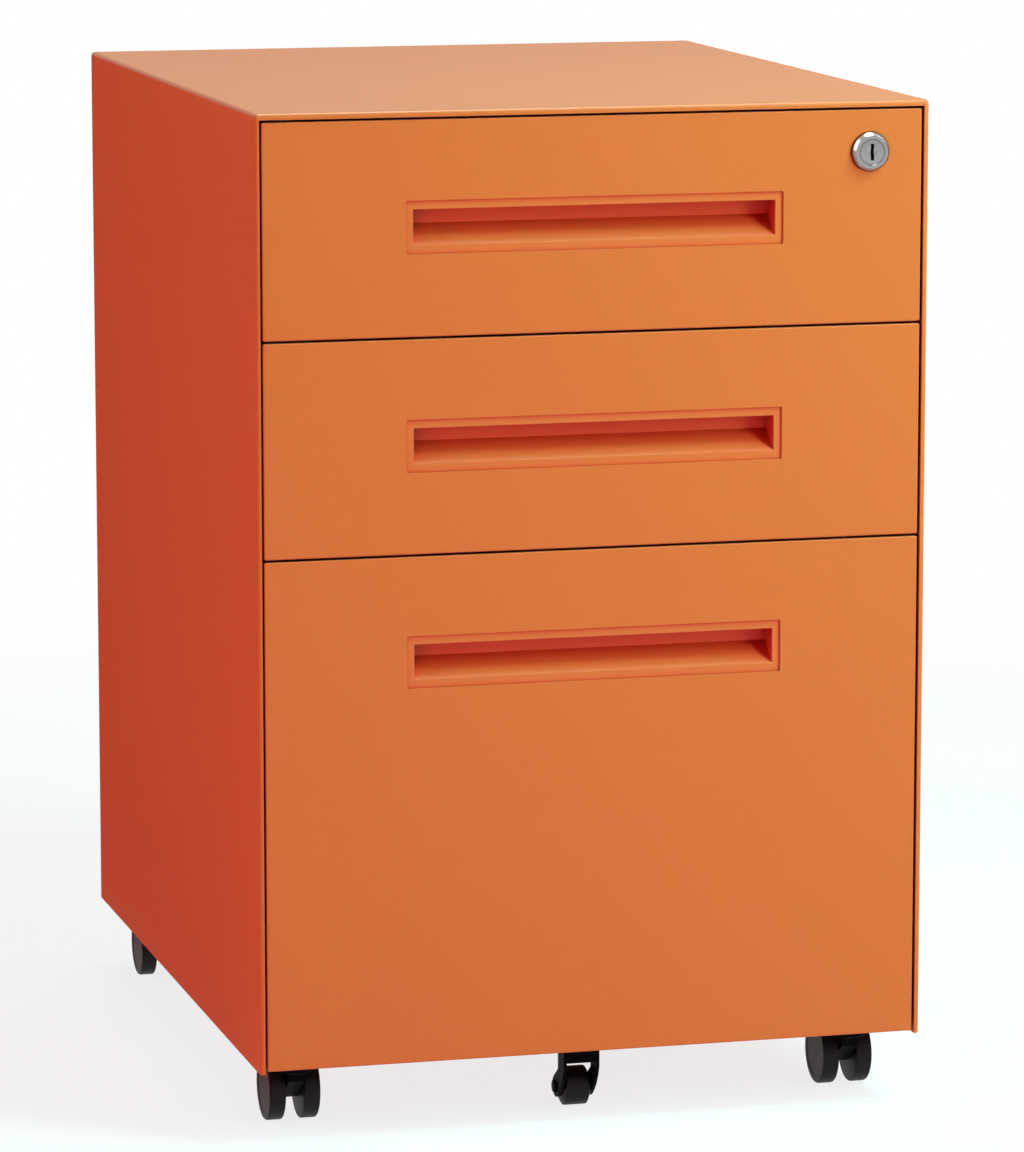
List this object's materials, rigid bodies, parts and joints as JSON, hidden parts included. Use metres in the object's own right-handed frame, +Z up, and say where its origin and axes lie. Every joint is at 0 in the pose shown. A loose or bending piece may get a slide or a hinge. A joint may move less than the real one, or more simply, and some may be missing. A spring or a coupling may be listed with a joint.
{
  "type": "mobile filing cabinet",
  "caption": "Steel mobile pedestal with stacked box drawers over a hanging-file drawer, recessed handles, a central lock and swivel casters.",
  "frame": {"origin": "on the floor, under the middle of the case", "axes": "+Z up, +Y from the drawer fronts to the back, +X to the right as seen from the front"},
  "size_m": [0.4, 0.4938, 0.597],
  "materials": {
    "case_paint": "satin orange powder coat",
    "drawer_paint": "satin orange powder coat",
    "handle_moulding": "satin orange moulding",
    "zinc": "bright zinc plate",
    "lock_nickel": "satin nickel",
    "caster_plastic": "satin black nylon",
    "wheel_tread": "satin black nylon",
    "black_steel": "black paint"
  },
  "bodies": {
    "case": {"case_wrap": "case_paint", "back_panel": "case_paint", "base_pan": "case_paint", "front_post_left": "case_paint", "front_post_right": "case_paint", "rear_post_left": "case_paint", "rear_post_right": "case_paint", "upper_slide_outer_left": "zinc", "upper_slide_outer_right": "zinc", "middle_slide_outer_left": "zinc", "middle_slide_outer_right": "zinc", "file_slide_outer_left": "zinc", "file_slide_outer_right": "zinc", "caster_front_left_mount": "zinc", "caster_front_right_mount": "zinc", "caster_rear_left_mount": "zinc", "caster_rear_right_mount": "zinc"},
    "lock_bar": {"lock_bar": "zinc"},
    "upper_drawer": {"upper_drawer_front": "drawer_paint", "upper_drawer_backer": "drawer_paint", "upper_drawer_tray": "drawer_paint", "upper_drawer_handle": "handle_moulding", "upper_slide_inner_left": "zinc", "upper_slide_inner_right": "zinc", "lock_housing": "lock_nickel"},
    "lock": {"lock_plug": "lock_nickel", "lock_cam": "zinc"},
    "middle_drawer": {"middle_drawer_front": "drawer_paint", "middle_drawer_backer": "drawer_paint", "middle_drawer_tray": "drawer_paint", "middle_drawer_handle": "handle_moulding", "middle_slide_inner_left": "zinc", "middle_slide_inner_right": "zinc"},
    "file_drawer": {"file_drawer_front": "drawer_paint", "file_drawer_backer": "drawer_paint", "file_drawer_tray": "drawer_paint", "file_drawer_handle": "handle_moulding", "file_slide_inner_left": "zinc", "file_slide_inner_right": "zinc", "tip_fork": "black_steel", "tip_rivet": "zinc"},
    "file_slide_middle_left": {"file_slide_middle_left": "zinc"},
    "file_slide_middle_right": {"file_slide_middle_right": "zinc"},
    "tip_wheel": {"tip_wheel": "wheel_tread"},
    "caster_front_left_swivel": {"caster_front_left_body": "caster_plastic", "caster_front_left_axle": "zinc"},
    "caster_front_left_wheel_left": {"caster_front_left_wheel_left": "wheel_tread"},
    "caster_front_left_wheel_right": {"caster_front_left_wheel_right": "wheel_tread"},
    "caster_front_right_swivel": {"caster_front_right_body": "caster_plastic", "caster_front_right_axle": "zinc"},
    "caster_front_right_wheel_left": {"caster_front_right_wheel_left": "wheel_tread"},
    "caster_front_right_wheel_right": {"caster_front_right_wheel_right": "wheel_tread"},
    "caster_rear_left_swivel": {"caster_rear_left_body": "caster_plastic", "caster_rear_left_axle": "zinc"},
    "caster_rear_left_wheel_left": {"caster_rear_left_wheel_left": "wheel_tread"},
    "caster_rear_left_wheel_right": {"caster_rear_left_wheel_right": "wheel_tread"},
    "caster_rear_right_swivel": {"caster_rear_right_body": "caster_plastic", "caster_rear_right_axle": "zinc"},
    "caster_rear_right_wheel_left": {"caster_rear_right_wheel_left": "wheel_tread"},
    "caster_rear_right_wheel_right": {"caster_rear_right_wheel_right": "wheel_tread"}
  },
  "joints": [
    {"name": "upper_drawer_slide", "type": "slide", "parent": "case", "child": "upper_drawer", "axis": [0, -1, 0], "range_m": [0, 0.33]},
    {"name": "middle_drawer_slide", "type": "slide", "parent": "case", "child": "middle_drawer", "axis": [0, -1, 0], "range_m": [0, 0.33]},
    {"name": "file_drawer_slide", "type": "slide", "parent": "case", "child": "file_drawer", "axis": [0, -1, 0], "range_m": [0, 0.44]},
    {"name": "file_slide_middle_left_run", "type": "slide", "parent": "case", "child": "file_slide_middle_left", "axis": [0, -1, 0], "range_m": [0, 0.22]},
    {"name": "file_slide_middle_right_run", "type": "slide", "parent": "case", "child": "file_slide_middle_right", "axis": [0, -1, 0], "range_m": [0, 0.22]},
    {"name": "lock_turn", "type": "hinge", "parent": "upper_drawer", "child": "lock", "pos_m": [0.1642, -0.2444, 0.56755], "axis": [0, 1, 0], "range_deg": [-90, 0]},
    {"name": "lock_bar_lift", "type": "slide", "parent": "case", "child": "lock_bar", "axis": [0, 0, 1], "range_m": [0, 0.01697]},
    {"name": "caster_front_left_swivel", "type": "hinge", "parent": "case", "child": "caster_front_left_swivel", "pos_m": [-0.1699, -0.1996, 0.0423], "axis": [0, 0, 1], "continuous": true},
    {"name": "caster_front_left_wheel_left_spin", "type": "hinge", "parent": "caster_front_left_swivel", "child": "caster_front_left_wheel_left", "pos_m": [-0.1699, -0.1836, 0.0193], "axis": [1, 0, 0], "continuous": true},
    {"name": "caster_front_left_wheel_right_spin", "type": "hinge", "parent": "caster_front_left_swivel", "child": "caster_front_left_wheel_right", "pos_m": [-0.1699, -0.1836, 0.0193], "axis": [1, 0, 0], "continuous": true},
    {"name": "caster_front_right_swivel", "type": "hinge", "parent": "case", "child": "caster_front_right_swivel", "pos_m": [0.1699, -0.1996, 0.0423], "axis": [0, 0, 1], "continuous": true},
    {"name": "caster_front_right_wheel_left_spin", "type": "hinge", "parent": "caster_front_right_swivel", "child": "caster_front_right_wheel_left", "pos_m": [0.1699, -0.1836, 0.0193], "axis": [1, 0, 0], "continuous": true},
    {"name": "caster_front_right_wheel_right_spin", "type": "hinge", "parent": "caster_front_right_swivel", "child": "caster_front_right_wheel_right", "pos_m": [0.1699, -0.1836, 0.0193], "axis": [1, 0, 0], "continuous": true},
    {"name": "caster_rear_left_swivel", "type": "hinge", "parent": "case", "child": "caster_rear_left_swivel", "pos_m": [-0.1699, 0.1824, 0.0423], "axis": [0, 0, 1], "continuous": true},
    {"name": "caster_rear_left_wheel_left_spin", "type": "hinge", "parent": "caster_rear_left_swivel", "child": "caster_rear_left_wheel_left", "pos_m": [-0.1699, 0.1984, 0.0193], "axis": [1, 0, 0], "continuous": true},
    {"name": "caster_rear_left_wheel_right_spin", "type": "hinge", "parent": "caster_rear_left_swivel", "child": "caster_rear_left_wheel_right", "pos_m": [-0.1699, 0.1984, 0.0193], "axis": [1, 0, 0], "continuous": true},
    {"name": "caster_rear_right_swivel", "type": "hinge", "parent": "case", "child": "caster_rear_right_swivel", "pos_m": [0.1699, 0.1824, 0.0423], "axis": [0, 0, 1], "continuous": true},
    {"name": "caster_rear_right_wheel_left_spin", "type": "hinge", "parent": "caster_rear_right_swivel", "child": "caster_rear_right_wheel_left", "pos_m": [0.1699, 0.1984, 0.0193], "axis": [1, 0, 0], "continuous": true},
    {"name": "caster_rear_right_wheel_right_spin", "type": "hinge", "parent": "caster_rear_right_swivel", "child": "caster_rear_right_wheel_right", "pos_m": [0.1699, 0.1984, 0.0193], "axis": [1, 0, 0], "continuous": true},
    {"name": "tip_wheel_spin", "type": "hinge", "parent": "file_drawer", "child": "tip_wheel", "pos_m": [0, -0.1977, 0.0122], "axis": [1, 0, 0], "continuous": true}
  ],
  "couplings": [
    {"joint": "file_slide_middle_left_run", "follows": "file_drawer_slide", "ratio": 0.5},
    {"joint": "file_slide_middle_right_run", "follows": "file_drawer_slide", "ratio": 0.5},
    {"joint": "lock_turn", "follows": "lock_bar_lift", "rad_per_m": -92.56}
  ]
}
